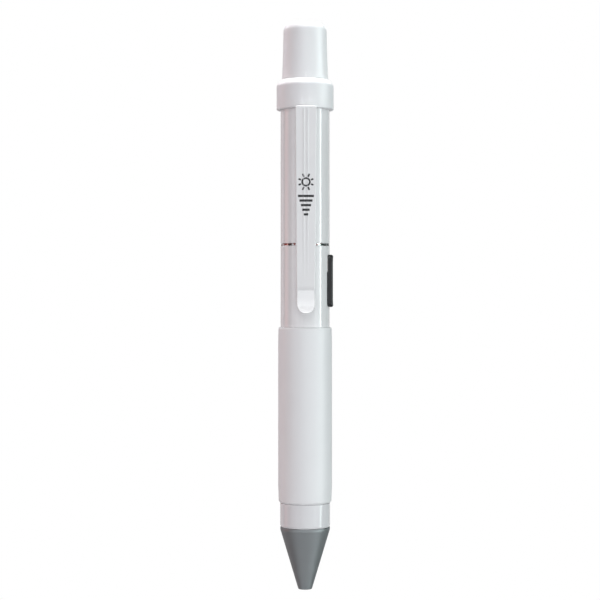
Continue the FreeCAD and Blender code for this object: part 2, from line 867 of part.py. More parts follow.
def make_contacts():
    contact = cylinder("tail_contact", "contact_radius", "contact_top - contact_bottom",
                       "0", "0", "contact_bottom")
    register(contact, "tail_contact")
    carrier = new_body("contact_carrier")
    revolve(carrier, "carrier_turned", rectangle("0", "carrier_radius", "tail_bottom", "carrier_top"))
    pocket(carrier, "pin_hole", "XY_Plane", "tail_bottom - 1", "carrier_top - tail_bottom + 2",
           circles=[("0", "contact_pin_offset", "contact_pin_radius + face_gap")])
    pin = cylinder("contact_pin", "contact_pin_radius", "charge_board_bottom - contact_top - 2 * face_gap",
                   "0", "contact_pin_offset", "contact_top + face_gap")
    register(pin, "contact_pin")
    ribbon = new_body("power_ribbon")
    fold_top = "ribbon_fold + ribbon_thickness"
    revolve(ribbon, "ribbon_run", [
        ("ribbon_outer", "ribbon_tail"),
        ("ribbon_outer", fold_top),
        ("ribbon_inside + ribbon_thickness", fold_top),
        ("ribbon_inside + ribbon_thickness", "charge_board_bottom - face_gap"),
        ("ribbon_inside", "charge_board_bottom - face_gap"),
        ("ribbon_inside", "ribbon_fold"),
        ("ribbon_inner", "ribbon_fold"),
        ("ribbon_inner", "ribbon_tail"),
    ], angle="ribbon_angle")
    half = "ribbon_tail_width / 2"
    pad(ribbon, "ribbon_end", "XY_Plane", [rectangle("0", "ribbon_inner - 0.2", "0 - " + half, half)],
        "ribbon_tail", "ribbon_thickness")
    pad(ribbon, "ribbon_bend", "XY_Plane",
        [rectangle("ribbon_inner - 0.3", "ribbon_inner + 0.02", "0 - 1.2", "1.2")],
        "ribbon_tail", "ribbon_thickness")
    ribbon.Placement = FreeCAD.Placement(Vector(0, 0, 0), FACING_BACK)


def make_charging():
    spigot = new_body("tail_spigot")
    revolve(spigot, "spigot_turned", [
        ("tail_cavity_radius", "tail_bottom"),
        ("tail_flange_radius", "tail_bottom"),
        ("tail_flange_radius", "upper_barrel_top"),
        ("tail_radius", "upper_barrel_top"),
        ("tail_radius", "tail_groove_mid - tail_groove_height / 2"),
        ("tail_groove_floor", "tail_groove_mid - tail_groove_height / 2"),
        ("tail_groove_floor", "tail_groove_mid + tail_groove_height / 2"),
        ("tail_radius", "tail_groove_mid + tail_groove_height / 2"),
        ("tail_radius", "tail_top"),
        ("0", "tail_top"),
        ("0", "tail_cavity_top"),
        ("tail_cavity_radius", "tail_cavity_top"),
    ])
    dress(spigot, "Chamfer", "spigot_lead_in", "tail_chamfer", rim_at("tail_top", "tail_radius"))
    long_half = "( port_length / 2 + port_gap )"
    short_half = "( port_width / 2 + port_gap )"
    pocket(spigot, "port_slot", "XY_Plane", "port_bottom - port_gap", "tail_top - port_bottom + 1",
           outlines=[rectangle("0 - " + long_half, long_half, "0 - " + short_half, short_half)])
    torus("spigot_o_ring", "tail_seal_major", "tail_seal_minor", "tail_groove_mid")

    port = new_body("usb_receptacle")
    outline = rounded_rectangle("port_length / 2", "0 - port_width / 2", "port_width / 2", "port_corner")
    pad(port, "port_shell", "XY_Plane", [outline], "port_bottom", "port_top - port_bottom")
    inner_short = "( port_width / 2 - port_wall )"
    mouth = rounded_rectangle("( port_length / 2 - port_wall )", "0 - " + inner_short, inner_short,
                              "port_corner - port_wall")
    pocket(port, "port_mouth", "XY_Plane", "port_bottom + port_floor", "port_top - port_bottom",
           outlines=[mouth])
    tongue = box("usb_tongue", "0", "0", "port_bottom + port_floor + face_gap", "tongue_width",
                 "tongue_thickness", "tongue_top - port_bottom - port_floor - face_gap")
    register(tongue, "usb_tongue")
    board = cylinder("charge_board", "charge_board_radius", "charge_board_top - charge_board_bottom",
                     "0", "0", "charge_board_bottom")
    register(board, "charge_board")
    chip = box("charge_chip", "0", "0 - 1.2", "charge_board_bottom - charge_chip_height",
               "charge_chip_side", "charge_chip_side", "charge_chip_height")
    register(chip, "charge_chip")


def check_and_export():
    doc.recompute()
    for item in doc.Objects:
        if "Invalid" in item.State or "Error" in item.State:
            raise ValueError("%s is %s" % (item.Label, item.State))
    for item in sub_parts:
        shape = item.Shape
        if shape.isNull() or not shape.isValid() or not shape.Solids:
            raise ValueError("%s has a bad shape" % item.Label)
        shape.exportStep("parts/%s.step" % item.Label)


make_lower_barrel()
make_upper_barrel()
make_seam_ring()
make_grip_sleeve()
make_front_ring()
make_clip_collar()
make_end_knob()
make_pocket_clip()
make_button_cap()
make_nose()
make_optics()
make_tray()
make_main_board()
make_board_screws()
make_board_parts()
make_cell()
make_contacts()
make_charging()
check_and_export()
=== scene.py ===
"""Looks of the pen-shaped curing light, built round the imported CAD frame.

The pen's axis is z, with 0 at the tip. Lengths are in mm unless a comment says otherwise.
"""

import json
import math

import bmesh
import bpy
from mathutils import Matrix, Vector


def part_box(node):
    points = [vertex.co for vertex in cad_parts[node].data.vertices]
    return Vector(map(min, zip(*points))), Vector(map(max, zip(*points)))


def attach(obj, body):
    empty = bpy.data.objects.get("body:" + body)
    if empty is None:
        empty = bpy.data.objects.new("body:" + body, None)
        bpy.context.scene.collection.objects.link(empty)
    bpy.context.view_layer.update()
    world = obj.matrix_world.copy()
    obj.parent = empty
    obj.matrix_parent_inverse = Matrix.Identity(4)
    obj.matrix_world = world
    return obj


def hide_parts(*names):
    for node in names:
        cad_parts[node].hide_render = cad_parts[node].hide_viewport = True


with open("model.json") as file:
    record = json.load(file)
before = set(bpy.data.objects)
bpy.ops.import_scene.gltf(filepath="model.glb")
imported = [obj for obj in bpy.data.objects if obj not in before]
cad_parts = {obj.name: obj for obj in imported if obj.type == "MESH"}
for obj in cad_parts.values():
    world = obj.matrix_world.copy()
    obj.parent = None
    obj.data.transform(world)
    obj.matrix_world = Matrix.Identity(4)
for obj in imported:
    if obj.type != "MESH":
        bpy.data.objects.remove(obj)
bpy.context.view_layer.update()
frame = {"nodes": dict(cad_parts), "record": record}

MM = 0.001
AROUND = 192                 # segments of a turned piece
LONGEST_RUN = 1.2            # longest step between two rings of a turned piece
FINE_RUN = 0.9               # the same for the nose and its light guide
ON_AXIS = 1e-6               # a radius below this lies on the axis
CORNER_SHARE = 0.49          # largest part of a side that one rounded corner takes
CORNER_STEPS, SIDE_STEPS = 10, 8         # of a rounded rectangle
WELD, BOOLEAN_WELD = 1e-7, 2e-7          # metres within which vertices are merged
SMOOTH_ANGLE = math.radians(32)


# ---------------------------------------------------------------- camera

PEN_CENTRE_Z = 73.5          # height of the camera
CAMERA_DISTANCE = 424.3      # from the pen's axis
CAMERA_AZIMUTH = math.radians(-1.4)
CAMERA_SIDE_STEP = -1.3      # along the camera's own right
CAMERA_SENSOR, CAMERA_LENS = 36.0, 100.0
CAMERA_NEAR, CAMERA_FAR = 0.01, 20.0     # metres


def make_camera():
    data = bpy.data.cameras.new("camera")
    data.sensor_width, data.lens = CAMERA_SENSOR, CAMERA_LENS
    data.clip_start, data.clip_end = CAMERA_NEAR, CAMERA_FAR
    camera = bpy.data.objects.new("camera", data)
    bpy.context.scene.collection.objects.link(camera)
    back = Vector((math.sin(CAMERA_AZIMUTH), -math.cos(CAMERA_AZIMUTH), 0))
    right = Vector((math.cos(CAMERA_AZIMUTH), math.sin(CAMERA_AZIMUTH), 0))
    spot = back * CAMERA_DISTANCE + right * CAMERA_SIDE_STEP
    camera.location = Vector((spot.x, spot.y, PEN_CENTRE_Z)) * MM
    camera.rotation_euler = (math.radians(90), 0, CAMERA_AZIMUTH)
    bpy.context.scene.camera = camera


# ---------------------------------------------------------------- outlines

def span(node):
    """(lowest z, highest z, largest x) of a CAD node."""
    low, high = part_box(node)
    return low.z / MM, high.z / MM, high.x / MM


def swing(centre, arm, angle):
    """End of an arm from a centre, turned counter-clockwise by an angle."""
    c, s = math.cos(angle), math.sin(angle)
    return centre.x + arm.x * c - arm.y * s, centre.y + arm.x * s + arm.y * c


def arc(x, y, half_x, half_y, start, steps):
    """Quarter of an ellipse about (x, y), counter-clockwise from an angle in degrees, with both ends."""
    angles = [math.radians(start + 90 * k / steps) for k in range(steps + 1)]
    return [(x + half_x * math.cos(a), y + half_y * math.sin(a)) for a in angles]


def round_loss(gap, radius):
    """How far an edge's round has cut in at a gap from the end; 0 beyond the round."""
    if gap >= radius:
        return 0.0
    return radius - math.sqrt(max(0.0, radius ** 2 - (radius - gap) ** 2))


def round_corners(points, steps=6):
    """Closed polyline of (x, y, corner radius) with each corner replaced by an arc."""
    out = []
    for i, (x, y, radius) in enumerate(points):
        if radius <= 0:
            out.append((x, y))
            continue
        here = Vector((x, y))
        before = Vector(points[i - 1][:2]) - here
        after = Vector(points[(i + 1) % len(points)][:2]) - here
        angle = before.angle(after)
        reach = radius / math.tan(angle / 2)
        reach = min(reach, before.length * CORNER_SHARE, after.length * CORNER_SHARE)
        radius = reach * math.tan(angle / 2)
        towards = (before.normalized() + after.normalized()).normalized()
        centre = here + towards * (radius / math.sin(angle / 2))
        first = here + before.normalized() * reach - centre
        last = here + after.normalized() * reach - centre
        turn = first.angle_signed(last)
        out += [swing(centre, first, -turn * k / steps) for k in range(steps + 1)]
    return out


def densify(points, step):
    """Adds points to the long runs of a closed outline, so that none is longer than step."""
    out = []
    for i, (x, y) in enumerate(points):
        nx, ny = points[(i + 1) % len(points)]
        pieces = max(1, math.ceil(math.hypot(nx - x, ny - y) / step))
        out += [(x + (nx - x) * k / pieces, y + (ny - y) * k / pieces) for k in range(pieces)]
    return out


def rounded_outline(half_x, half_y, corner):
    """Counter-clockwise points of a rounded rectangle centred on the origin."""
    spots = [(1, -1), (1, 1), (-1, 1), (-1, -1)]
    flat_x, flat_y = half_x - corner, half_y - corner
    corners = [arc(sx * flat_x, sy * flat_y, corner, corner, 90 * i - 90, CORNER_STEPS)
               for i, (sx, sy) in enumerate(spots)]
    points = []
    for i, bend in enumerate(corners):
        (x, y), (nx, ny) = bend[-1], corners[(i + 1) % 4][0]
        points += bend
        points += [(x + (nx - x) * k / SIDE_STEPS, y + (ny - y) * k / SIDE_STEPS)
                   for k in range(1, SIDE_STEPS)]
    return points


# ---------------------------------------------------------------- meshes

def tidy_mesh(piece, weld=WELD):
    bm = bmesh.new()
    bm.from_mesh(piece.data)
    bmesh.ops.remove_doubles(bm, verts=bm.verts, dist=weld)
    bmesh.ops.dissolve_degenerate(bm, edges=bm.edges, dist=weld)
    bmesh.ops.delete(bm, geom=[v for v in bm.verts if not v.link_faces], context="VERTS")
    bmesh.ops.recalc_face_normals(bm, faces=bm.faces)
    bm.to_mesh(piece.data)
    bm.free()
    piece.data.shade_smooth()
    piece.data.set_sharp_from_angle(angle=SMOOTH_ANGLE)


def add_piece(name, mesh):
    """Object from a mesh in metres; smooth, with sharp edges where the surface folds."""
    piece = bpy.data.objects.new(name, mesh)
    bpy.context.scene.collection.objects.link(piece)
    tidy_mesh(piece)
    return piece


def new_object(name, verts, faces):
    """Object from vertices in mm and faces."""
    mesh = bpy.data.meshes.new(name)
    mesh.from_pydata([[c * MM for c in v] for v in verts], [], faces)
    return add_piece(name, mesh)


def lathe(name, outline, step=LONGEST_RUN, around=AROUND):
    """Turned piece from a closed outline of (radius, z)."""
    rings, verts, faces = [], [], []
    for radius, z in densify(outline, step):
        start = len(verts)
        if radius < ON_AXIS:
            verts.append((0, 0, z))
            rings.append([start] * around)
            continue
        for k in range(around):
            a = 2 * math.pi * k / around
            verts.append((radius * math.cos(a), radius * math.sin(a), z))
        rings.append(list(range(start, start + around)))
    for i, ring in enumerate(rings):
        after = rings[(i + 1) % len(rings)]
        for k in range(around):
            m = (k + 1) % around
            corners = []
            for v in (ring[k], ring[m], after[m], after[k]):
                if v not in corners:
                    corners.append(v)
            if len(corners) > 2:
                faces.append(corners)
    return new_object(name, verts, faces)


def loft(name, rings, cap_end=True):
    """Skin through rings of equal point count; the first ring has a flat cap, the last may have one."""
    verts = [p for ring in rings for p in ring]
    n = len(rings[0])
    faces = []
    for i in range(len(rings) - 1):
        for k in range(n):
            m = (k + 1) % n
            faces.append((i * n + k, i * n + m, (i + 1) * n + m, (i + 1) * n + k))
    faces.append(tuple(reversed(range(n))))
    if cap_end:
        faces.append(tuple(range((len(rings) - 1) * n, len(rings) * n)))
    return new_object(name, verts, faces)


def block(name, low, high, bevel):
    """Box between two corners, with rounded edges."""
    mesh = bpy.data.meshes.new(name)
    bm = bmesh.new()
    bmesh.ops.create_cube(bm, size=1.0)
    for v in bm.verts:
        for axis in range(3):
            v.co[axis] = (low[axis] if v.co[axis] < 0 else high[axis]) * MM
    bmesh.ops.bevel(bm, geom=bm.edges, offset=bevel * MM, segments=3, affect="EDGES", profile=0.5)
    bm.to_mesh(mesh)
    bm.free()
    return add_piece(name, mesh)


def combine(piece, other, operation):
    """Boolean of two closed pieces; the second one is used up."""
    modifier = piece.modifiers.new("combine", "BOOLEAN")
    modifier.operation = operation
    modifier.solver = "EXACT"
    modifier.object = other
    depsgraph = bpy.context.evaluated_depsgraph_get()
    made = bpy.data.meshes.new_from_object(piece.evaluated_get(depsgraph))
    piece.modifiers.clear()
    piece.data = made
    bpy.data.objects.remove(other)
    tidy_mesh(piece, BOOLEAN_WELD)


def settle(piece, body, slot, material, *nodes):
    """Gives a finished piece its material and body, and hides the CAD nodes that it stands for; slot is not
    used.
    """
    piece.data.materials.clear()
    piece.data.materials.append(material)
    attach(piece, body)
    if nodes:
        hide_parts(*nodes)


# ---------------------------------------------------------------- materials

class Graph:
    """Small helper for a node material about one Principled shader."""

    def __init__(self, name):
        self.material = bpy.data.materials.new(name)
        self.material.use_nodes = True
        self.tree = self.material.node_tree
        self.tree.nodes.clear()
        output = self.tree.nodes.new("ShaderNodeOutputMaterial")
        self.shader = self.tree.nodes.new("ShaderNodeBsdfPrincipled")
        self.tree.links.new(self.shader.outputs[0], output.inputs["Surface"])
        coordinates = self.tree.nodes.new("ShaderNodeTexCoord")
        self.place = coordinates.outputs["Object"]

    def node(self, kind, **settings):
        made = self.tree.nodes.new(kind)
        for key, setting in settings.items():
            setattr(made, key, setting)
        return made

    def link(self, source, target):
        self.tree.links.new(source, target)

    def constants(self, numbers):
        """Numbers for the shader's own sockets."""
        for key, number in numbers.items():
            self.shader.inputs[key].default_value = number

    def mapped(self, socket, setting):
        """Coordinates with one of the Mapping node's sockets set."""
        mapping = self.node("ShaderNodeMapping")
        mapping.inputs[socket].default_value = setting
        self.link(self.place, mapping.inputs["Vector"])
        return mapping.outputs[0]

    def noise(self, size, detail=3.0, rough=0.5, vector=None):
        """Noise whose features are about size across."""
        made = self.node("ShaderNodeTexNoise")
        made.inputs["Scale"].default_value = 1.0 / (size * MM)
        made.inputs["Detail"].default_value = detail
        made.inputs["Roughness"].default_value = rough
        self.link(vector or self.place, made.inputs["Vector"])
        return made.outputs["Fac"]

    def remap(self, source, low, high, to_low, to_high):
        made = self.node("ShaderNodeMapRange")
        made.clamp = True
        for key, number in (("From Min", low), ("From Max", high), ("To Min", to_low), ("To Max", to_high)):
            made.inputs[key].default_value = number
        self.link(source, made.inputs["Value"])
        return made.outputs[0]

    def math(self, operation, a, b):
        made = self.node("ShaderNodeMath", operation=operation)
        for socket, term in zip(made.inputs, (a, b)):
            if isinstance(term, (int, float)):
                socket.default_value = term
            else:
                self.link(term, socket)
        return made.outputs[0]

    def blend(self, factor, first, second):
        made = self.node("ShaderNodeMix", data_type="RGBA")
        self.link(factor, made.inputs["Factor"])
        for key, colour in ((6, first), (7, second)):
            if isinstance(colour, tuple):
                made.inputs[key].default_value = (*colour, 1.0)
            else:
                self.link(colour, made.inputs[key])
        return made.outputs[2]

    def bump(self, height, depth, normal=None):
        made = self.node("ShaderNodeBump")
        made.inputs["Strength"].default_value = 1.0
        made.inputs["Distance"].default_value = depth * MM
        self.link(height, made.inputs["Height"])
        if normal is not None:
            self.link(normal, made.inputs["Normal"])
        return made.outputs[0]

    def edges(self):
        """1 on convex edges, broken up a little, and 0 on flat ground."""
        geometry = self.node("ShaderNodeNewGeometry")
        edge = self.remap(geometry.outputs["Pointiness"], 0.52, 0.62, 0.0, 1.0)
        return self.math("MULTIPLY", edge, self.remap(self.noise(1.2), 0.35, 0.65, 0.3, 1.0))


CLOUD_SIZE = 7.0             # of the slow change of tint
GRAIN_SHARE = 0.6            # of the uneven gloss; the clouds give the rest
EDGE_WEAR_AND_SHEEN_AMOUNT = 0.5            # of the edge colour on convex edges: wear on the dark and metal finishes, a painted highlight on the white ones
COAT_ROUGHNESS = 0.05
TURNED_SCALE = (0.05, 0.05, 14.0)        # stretches noise into rings round the axis
SUBSURFACE_COLOUR, SUBSURFACE_DEPTH = (1.0, 0.8, 0.7), 0.4


def finish(name, base, tint, rough, rough_swing, grain, depth, edge_wear_and_sheen=None, metallic=0.0, coat=0.0,
           specular=0.5, turned=0.0, subsurface=0.0, edge_tint=1.0):
    """Moulded, painted or machined surface: cloudy tint, grain, uneven gloss, and an edge colour on convex
    edges that is wear on most finishes and a painted highlight on the white ones.
    """
    g = Graph(name)
    cloud = g.remap(g.noise(CLOUD_SIZE, 4.0), 0.3, 0.7, 0.0, 1.0)
    colour = g.blend(cloud, base, tint)
    if edge_wear_and_sheen is not None:
        # convex edges take the edge colour: a painted highlight on the white finishes, wear on the others
        colour = g.blend(g.math("MULTIPLY", g.edges(), EDGE_WEAR_AND_SHEEN_AMOUNT), colour, edge_wear_and_sheen)
    g.link(colour, g.shader.inputs["Base Color"])
    fine = g.noise(grain, 5.0, 0.6)
    mixed = g.math("ADD", g.math("MULTIPLY", fine, GRAIN_SHARE), g.math("MULTIPLY", cloud, 1 - GRAIN_SHARE))
    g.link(g.remap(mixed, 0.25, 0.75, rough - rough_swing, rough + rough_swing),
           g.shader.inputs["Roughness"])
    normal = g.bump(fine, depth)
    if turned:
        lines = g.noise(1.0, 2.0, 0.5, g.mapped("Scale", TURNED_SCALE))
        normal = g.bump(lines, turned, normal)
    g.link(normal, g.shader.inputs["Normal"])
    g.constants({
        "Metallic": metallic, "Coat Weight": coat, "Coat Roughness": COAT_ROUGHNESS,
        "Specular IOR Level": specular, "Subsurface Weight": subsurface,
        "Specular Tint": (edge_tint, edge_tint, edge_tint, 1.0),
    })
    if subsurface:
        g.constants({"Subsurface Radius": SUBSURFACE_COLOUR, "Subsurface Scale": SUBSURFACE_DEPTH * MM})
    return g.material


def metal_with_painted_reflections(name):
    """Bright plated ring with painted reflections: its base colour is patched with painted glints and with
    dark, warm red and green painted reflections of the room and lamps.
    """
    g = Graph(name)
    # painted glints: light patches in the base colour stand in for bright lamps mirrored in the ring
    painted_glint_mask = g.remap(g.noise(0.5, 1.0), 0.47, 0.55, 0.0, 1.0)
    painted_reflection_hue = g.remap(g.noise(1.6, 1.0), 0.44, 0.56, 0.0, 1.0)
    # painted reflection: dark patches, warm red in some places and green in others, stand in for the dark
    # room and the coloured lamps mirrored in the ring
    painted_dark_reflection = g.blend(painted_reflection_hue, (0.22, 0.03, 0.025), (0.02, 0.05, 0.04))
    g.link(g.blend(painted_glint_mask, painted_dark_reflection, (0.62, 0.66, 0.66)), g.shader.inputs["Base Color"])
    g.link(g.remap(g.noise(0.5), 0.3, 0.7, 0.12, 0.22), g.shader.inputs["Roughness"])
    g.link(g.bump(g.noise(0.2, 3.0), 0.0008), g.shader.inputs["Normal"])
    g.constants({"Metallic": 0.85})
    return g.material


def board_finish(name, base, light, pad):
    """Solder mask with raised tracks and bare pads."""
    g = Graph(name)
    cell = g.node("ShaderNodeTexBrick", offset=0.5)
    for key, setting in (("Scale", 420.0), ("Mortar Size", 0.035), ("Color1", (0, 0, 0, 1)),
                         ("Color2", (0.25, 0.25, 0.25, 1)), ("Mortar", (1, 1, 1, 1))):
        cell.inputs[key].default_value = setting
    g.link(g.mapped("Rotation", (math.radians(90), 0, math.radians(90))), cell.inputs["Vector"])
    tracks = g.math("MULTIPLY", cell.outputs["Color"], g.remap(g.noise(2.2, 1.0), 0.45, 0.55, 0.0, 1.0))
    dots = g.node("ShaderNodeTexVoronoi")
    dots.inputs["Scale"].default_value = 700.0
    g.link(g.place, dots.inputs["Vector"])
    pads = g.remap(dots.outputs["Distance"], 0.12, 0.16, 1.0, 0.0)
    colour = g.blend(g.math("MULTIPLY", tracks, 0.8), base, light)
    g.link(g.blend(pads, colour, pad), g.shader.inputs["Base Color"])
    g.link(pads, g.shader.inputs["Metallic"])
    g.link(g.remap(g.noise(0.6), 0.3, 0.7, 0.25, 0.4), g.shader.inputs["Roughness"])
    g.link(g.bump(tracks, 0.03), g.shader.inputs["Normal"])
    g.constants({"Coat Weight": 0.3})
    return g.material


def clear_finish(name, tint):
    """Clear moulded optic with faint flow marks."""
    g = Graph(name)
    colour = g.blend(g.noise(3.0), tint, (0.99, 0.99, 1.0))
    g.link(colour, g.shader.inputs["Base Color"])
    g.link(g.remap(g.noise(0.8), 0.3, 0.7, 0.03, 0.09), g.shader.inputs["Roughness"])
    g.link(g.bump(g.noise(1.6, 1.0), 0.004), g.shader.inputs["Normal"])
    g.constants({"Transmission Weight": 0.85})
    return g.material


# the white finishes' edge colour is lighter than their base: a painted highlight on their convex edges
WHITE = {"edge_wear_and_sheen": (0.93, 0.94, 0.95), "specular": 0.9}
FINISHES = [
    # name, base colour, cloud colour, roughness, its swing, grain size, grain depth, other settings
    ("satin_white", (0.80, 0.80, 0.81), (0.785, 0.785, 0.80), 0.41, 0.04, 0.22, 0.0018,
     {**WHITE, "subsurface": 0.04}),
    ("gloss_white", (0.79, 0.785, 0.79), (0.775, 0.77, 0.78), 0.10, 0.02, 0.5, 0.0003,
     {**WHITE, "coat": 0.4}),
    # darker copy of gloss white for the front ring: its lower base colour is painted shade
    ("shaded_ring_white", (0.725, 0.72, 0.735), (0.71, 0.705, 0.72), 0.14, 0.02, 0.5, 0.0005,
     {**WHITE, "coat": 0.2, "edge_tint": 0.6}),
    ("grip_white", (0.80, 0.80, 0.81), (0.785, 0.785, 0.795), 0.43, 0.05, 0.16, 0.003, WHITE),
    ("button_black", (0.012, 0.0125, 0.0135), (0.016, 0.0165, 0.018), 0.22, 0.05, 0.14, 0.003,
     {"specular": 0.4, "edge_wear_and_sheen": (0.12, 0.12, 0.125)}),
    ("print_black", (0.022, 0.022, 0.024), (0.03, 0.03, 0.032), 0.42, 0.05, 0.3, 0.002, {}),
    ("nose_grey", (0.286, 0.305, 0.312), (0.265, 0.284, 0.292), 0.42, 0.05, 0.2, 0.002,
     {"metallic": 0.6, "specular": 0.25, "edge_wear_and_sheen": (0.42, 0.44, 0.46), "turned": 0.006, "edge_tint": 0.35}),
    ("seal_black", (0.02, 0.02, 0.021), (0.03, 0.03, 0.031), 0.5, 0.08, 0.12, 0.004, {}),
    ("black_plastic", (0.025, 0.025, 0.027), (0.035, 0.035, 0.036), 0.5, 0.08, 0.2, 0.006,
     {"edge_wear_and_sheen": (0.10, 0.10, 0.10)}),
    ("tray_grey", (0.30, 0.31, 0.33), (0.26, 0.27, 0.29), 0.45, 0.06, 0.2, 0.005,
     {"edge_wear_and_sheen": (0.45, 0.46, 0.48)}),
    ("chip_black", (0.02, 0.02, 0.02), (0.03, 0.03, 0.03), 0.6, 0.06, 0.1, 0.006, {}),
    ("ferrite_grey", (0.07, 0.07, 0.075), (0.10, 0.10, 0.10), 0.7, 0.05, 0.15, 0.012, {}),
    ("capacitor_tan", (0.36, 0.22, 0.11), (0.44, 0.29, 0.16), 0.5, 0.06, 0.15, 0.006, {}),
    ("sink_aluminium", (0.72, 0.73, 0.74), (0.64, 0.65, 0.66), 0.3, 0.07, 0.25, 0.003,
     {"metallic": 1.0, "turned": 0.02}),
    ("pad_grey", (0.36, 0.37, 0.41), (0.42, 0.43, 0.46), 0.75, 0.05, 0.3, 0.02, {}),
    ("led_yellow", (0.80, 0.60, 0.10), (0.88, 0.74, 0.25), 0.3, 0.05, 0.2, 0.004, {"coat": 0.6}),
    ("lead_red", (0.45, 0.03, 0.025), (0.36, 0.02, 0.02), 0.4, 0.05, 0.4, 0.006, {}),
    ("steel", (0.60, 0.60, 0.61), (0.50, 0.50, 0.51), 0.28, 0.07, 0.2, 0.002,
     {"metallic": 1.0, "edge_wear_and_sheen": (0.8, 0.8, 0.8)}),
    ("contact_brass", (0.78, 0.57, 0.24), (0.66, 0.47, 0.18), 0.25, 0.06, 0.3, 0.003, {"metallic": 1.0}),
    ("cell_wrap", (0.05, 0.16, 0.36), (0.06, 0.19, 0.42), 0.3, 0.05, 1.5, 0.02, {"coat": 0.4}),
    ("ribbon_amber", (0.45, 0.20, 0.03), (0.55, 0.26, 0.05), 0.3, 0.05, 0.4, 0.01, {"coat": 0.3}),
]


def make_materials():
    materials = {name: finish(name, *numbers, **others) for name, *numbers, others in FINISHES}
    materials["seam_metal"] = metal_with_painted_reflections("seam_metal")
    materials["clear_optic"] = clear_finish("clear_optic", (0.93, 0.97, 1.0))
    materials["board_green"] = board_finish("board_green", (0.010, 0.085, 0.035), (0.03, 0.19, 0.08),
                                            (0.80, 0.62, 0.30))
    return materials


# ---------------------------------------------------------------- turned outer pieces

SLEEVE_BORE = 5.98           # of the grip sleeve and the front ring
JOINT_BORE = 5.75            # of the upper barrel's socket and the seam ring
CELL_BORE = 5.15


def make_knob(materials):
    z0, z1, foot = span("end_knob")
    bore, ceiling, inner_corner = 5.0, z1 - 2.7, 0.3
    top, corner, crown = 5.5, 1.85, 0.28
    chamfer, hollow = 0.04, 0.19
    rise = z1 - crown - corner - z0
    flat = top - corner
    outline = [(bore, z0), (foot - chamfer, z0), (foot, z0 + chamfer)]
    outline += [(foot - (foot - top) * t - hollow * t * (1 - t), z0 + rise * t)
                for t in (k / 12 for k in range(1, 13))]
    outline += arc(flat, z0 + rise, corner, corner, 0, 12)[1:]
    outline += [(r, z1 - crown * (r / flat) ** 2) for r in (flat * k / 5 for k in (4, 3, 2, 1, 0))]
    outline += [(0.0, ceiling), (bore - inner_corner, ceiling),
                (bore - 0.3 * inner_corner, ceiling - 0.3 * inner_corner), (bore, ceiling - inner_corner)]
    piece = lathe("knob_shell", outline)
    settle(piece, "end_cap", "satin_white", materials["satin_white"], "end_knob")


def make_collar(materials):
    z0, z1, rim = span("clip_collar")
    bore, lip_bore, lip_z = 6.28, 4.97, z1 - 1.1
    shoulder_z, shoulder_round, neck = z0 + 6.38, 1.1, 5.87
    outline = [(bore, z0, 0.05), (rim, z0, 0.2), (rim, shoulder_z, shoulder_round), (neck, z1, 0.03),
               (lip_bore, z1, 0.06), (lip_bore, lip_z, 0.0), (bore, lip_z, 0.0)]
    piece = lathe("collar_shell", round_corners(outline, 12))
    settle(piece, "handpiece", "satin_white", materials["satin_white"], "clip_collar")


def make_front_ring(materials):
    z0, z1, rim = span("front_ring")
    foot, edge_z = rim - 0.185, z0 + 0.45
    outline = [(SLEEVE_BORE, z0, 0.0), (foot, z0, 0.05), (rim, edge_z, 0.12), (rim, z1, 0.12),
               (SLEEVE_BORE, z1, 0.0)]
    piece = lathe("front_ring_shell", round_corners(outline))
    # the front ring takes the darker copy of gloss white, whose base colour is painted shade
    settle(piece, "handpiece", "gloss_white", materials["shaded_ring_white"], "front_ring")


def make_grip(materials):
    z0, z1, rim = span("grip_sleeve")
    foot, edge, edge_z, straight_z = rim - 0.48, rim - 0.125, z0 + 0.45, z0 + 4.95
    shoulder_z, shoulder_arc, top = z1 - 5.05, 142.0, rim - 0.09
    outline = [(SLEEVE_BORE, z0, 0.0), (foot, z0, 0.08), (edge, edge_z, 0.3), (rim, straight_z, 3.0)]
    outline += [(rim - dz * dz / (2 * shoulder_arc), shoulder_z + dz, 0.0)
                for dz in (0.0, 1.0, 2.0, 3.0, 4.0)]
    outline += [(top, z1, 0.36), (SLEEVE_BORE, z1, 0.0)]
    piece = lathe("grip_shell", round_corners(outline))
    settle(piece, "handpiece", "grip_white", materials["grip_white"], "grip_sleeve")


LEG_HALF_X, LEG_OUTER, LEG_INNER = 2.0, 8.0, 5.6     # the clip's leg, which enters the upper barrel
LEG_LOW, LEG_TOP = 120.5, 121.6
SLOT_GAP, SLOT_DEPTH = 0.15, 0.2         # room round the leg and behind it


def make_upper_barrel(materials):
    z0, z1, rim = span("upper_barrel")
    socket_top = z0 + 7.6
    outline = [(JOINT_BORE, z0, 0.0), (rim, z0, 0.12), (rim, z1, 0.08), (CELL_BORE, z1, 0.0),
               (CELL_BORE, socket_top, 0.0), (JOINT_BORE, socket_top, 0.0)]
    piece = lathe("upper_barrel_shell", round_corners(outline))
    slot_half = LEG_HALF_X + SLOT_GAP
    cutter = block("slot_cutter", (-slot_half, -LEG_OUTER, LEG_LOW - SLOT_GAP),
                   (slot_half, SLOT_DEPTH - LEG_INNER, LEG_TOP + SLOT_GAP), 0.08)
    combine(piece, cutter, "DIFFERENCE")
    settle(piece, "handpiece", "gloss_white", materials["gloss_white"], "upper_barrel")


BUTTON_HALF_Y, BUTTON_HALF_Z = 2.9, 6.65
WINDOW_HALF_Y, WINDOW_HALF_Z, WINDOW_CORNER = 3.0, 6.75, 1.15
WINDOW_FROM_X, WINDOW_TO_X = 3.0, 8.0    # reach of the cut through the barrel's wall
WINDOW_ROUND = 0.09


def button_middle():
    """Height of the button's middle; its pad's top edge is the node's highest point."""
    return span("button_cap")[1] - BUTTON_HALF_Z


